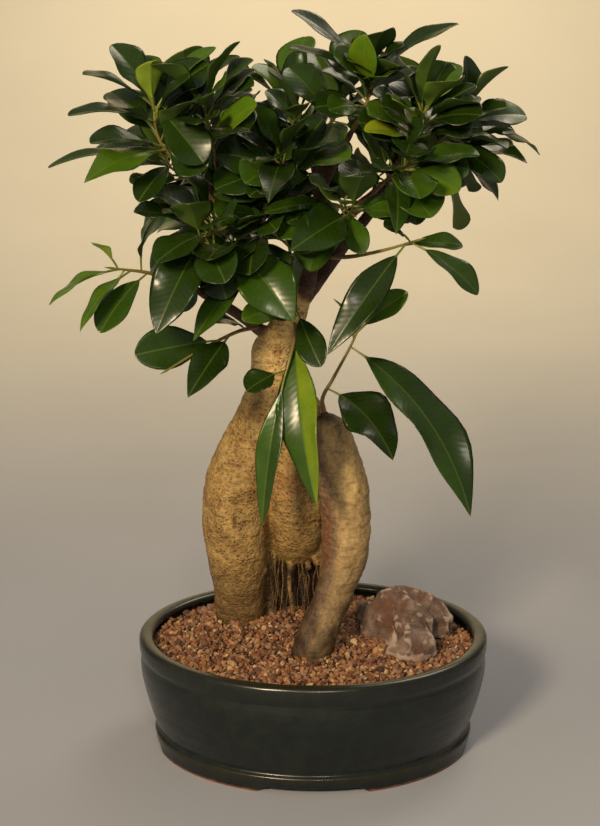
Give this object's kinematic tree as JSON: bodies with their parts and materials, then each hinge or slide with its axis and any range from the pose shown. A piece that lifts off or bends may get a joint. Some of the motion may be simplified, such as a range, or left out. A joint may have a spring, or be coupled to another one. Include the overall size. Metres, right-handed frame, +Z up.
{
  "type": "potted ginseng ficus bonsai",
  "caption": "Small ginseng ficus bonsai with swollen above-ground roots and a leafy crown, in an oval glazed pot with soil, gravel and a stone.",
  "frame": {"origin": "centre of the bounding box at its bottom, on the surface the pot's feet stand on", "axes": "+Z up along the tree, +Y towards the back of the tree, +X to the right of the tree seen from the front"},
  "size_m": [0.266, 0.213, 0.421],
  "materials": {
    "pot_glaze": "dark green-black semi-gloss glaze, bare reddish clay at the foot edge",
    "screen_plastic": "matt",
    "potting_soil": "loose bark and peat mix",
    "gravel": "matt pinkish-brown grains",
    "rock": "rough, grey-pink with rust patches",
    "bark": "smooth golden-brown bark with fine pits",
    "leaves": "glossy dark-green living leaf"
  },
  "bodies": {
    "root": {"pot": "pot_glaze", "drain_screen_left": "screen_plastic", "drain_screen_right": "screen_plastic", "soil": "potting_soil", "gravel": "gravel", "stone": "rock", "trunk": "bark", "leafy_stem_upper_left": "leaves", "leafy_stem_left_crown": "leaves", "leafy_stem_centre": "leaves", "leafy_stem_centre_low": "leaves", "leafy_stem_front_left": "leaves", "leafy_stem_top_middle": "leaves", "leafy_stem_top_right": "leaves", "leafy_stem_right_crown": "leaves", "leafy_stem_right_outer": "leaves", "leafy_stem_right_middle": "leaves", "leafy_stem_front_crown": "leaves", "leafy_stem_right_low": "leaves", "leafy_stem_left_tip": "leaves", "leafy_stem_left_middle": "leaves", "leafy_stem_left_low": "leaves", "leafy_stem_neck_front": "leaves", "leafy_stem_hanging": "leaves", "leafy_stem_root_top": "leaves", "leafy_stem_left_side": "leaves", "leafy_stem_back_left_low": "leaves", "leafy_stem_back_left_high": "leaves", "leafy_stem_back_right_high": "leaves", "leafy_stem_back_right_low": "leaves", "leafy_stem_back_middle": "leaves", "leafy_stem_back_low": "leaves", "leafy_stem_top_back": "leaves", "leafy_stem_right_side": "leaves"}
  },
  "joints": []
}
